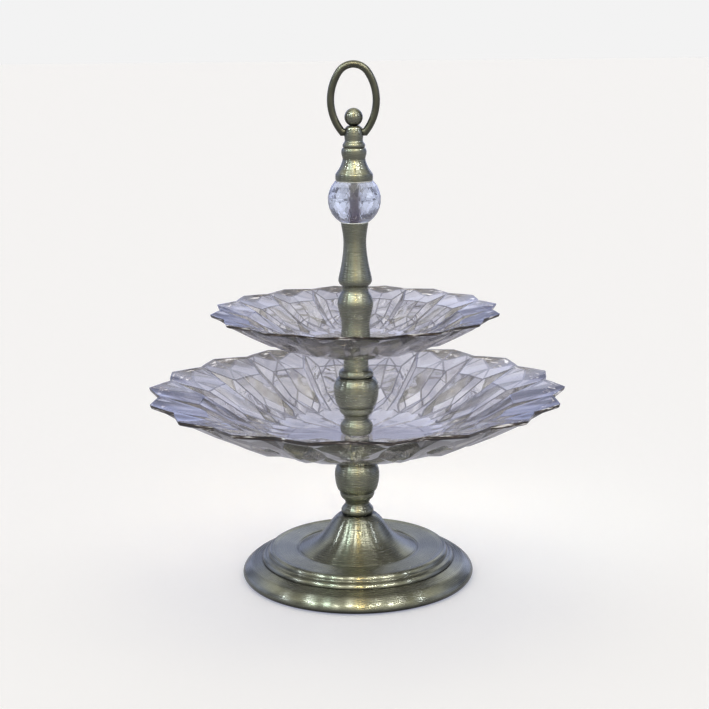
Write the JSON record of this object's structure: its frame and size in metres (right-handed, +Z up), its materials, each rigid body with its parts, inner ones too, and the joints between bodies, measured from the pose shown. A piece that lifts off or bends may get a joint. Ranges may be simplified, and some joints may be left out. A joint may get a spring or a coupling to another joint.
{
  "type": "tiered cake stand",
  "caption": "Tiered cake stand: faceted glass bowls with pointed rims on a turned antique brass column, with a stepped round base, a crystal ball and a swinging ring handle",
  "frame": {"origin": "on the table surface, under the middle of the round base", "axes": "+Z up along the column; the pin of the ring handle lies along X, so the ring stands in the XZ plane"},
  "size_m": [0.2998, 0.2968, 0.3712],
  "materials": {
    "antique_brass": "turned and brushed round the axis, antique bronze patina, lacquered",
    "pressed_glass": "clear pressed glass, fire polished, faint lavender grey tint",
    "crystal": "clear cut crystal, polished facets",
    "zinc_steel": "zinc plated steel",
    "soft_ring": "translucent soft vinyl, satin",
    "bush_plastic": "natural nylon",
    "felt": "dark green felt",
    "board": "pressed fibre board"
  },
  "bodies": {
    "stand": {"felt_pad": "felt", "base_cover": "board", "base_shell": "antique_brass", "base_stiffener": "zinc_steel", "base_spacer": "zinc_steel", "rod_washer": "zinc_steel", "rod_nut": "zinc_steel", "tie_rod": "zinc_steel", "lower_foot_bead": "antique_brass", "lower_cup_ring": "antique_brass", "lower_urn": "antique_brass", "lower_collar": "antique_brass", "lower_neck": "antique_brass", "lower_gasket_under": "soft_ring", "lower_bush": "bush_plastic", "lower_gasket_over": "soft_ring", "middle_foot_bead": "antique_brass", "middle_cup_ring": "antique_brass", "middle_urn": "antique_brass", "middle_collar": "antique_brass", "middle_neck": "antique_brass", "upper_gasket_under": "soft_ring", "upper_bush": "bush_plastic", "upper_gasket_over": "soft_ring", "baluster": "antique_brass", "trumpet_neck": "antique_brass", "ball_seat_lower": "soft_ring", "crystal_ball": "crystal", "ball_seat_upper": "soft_ring", "bell_cap": "antique_brass", "cap_bead": "antique_brass", "cap_collar": "antique_brass", "cap_stud": "zinc_steel", "finial_barrel": "antique_brass", "finial_ball": "antique_brass"},
    "lower_tier": {"lower_bowl": "pressed_glass"},
    "upper_tier": {"upper_bowl": "pressed_glass"},
    "ring": {"ring_handle": "antique_brass"}
  },
  "joints": [
    {"name": "lower_bowl_turn", "type": "hinge", "parent": "stand", "child": "lower_tier", "pos_m": [0, 0, 0.102], "axis": [0, 0, 1], "continuous": true},
    {"name": "upper_bowl_turn", "type": "hinge", "parent": "stand", "child": "upper_tier", "pos_m": [0, 0, 0.171], "axis": [0, 0, 1], "continuous": true},
    {"name": "ring_swing", "type": "hinge", "parent": "stand", "child": "ring", "pos_m": [0, 0, 0.3223], "axis": [1, 0, 0], "range_deg": [-140, 140]}
  ]
}
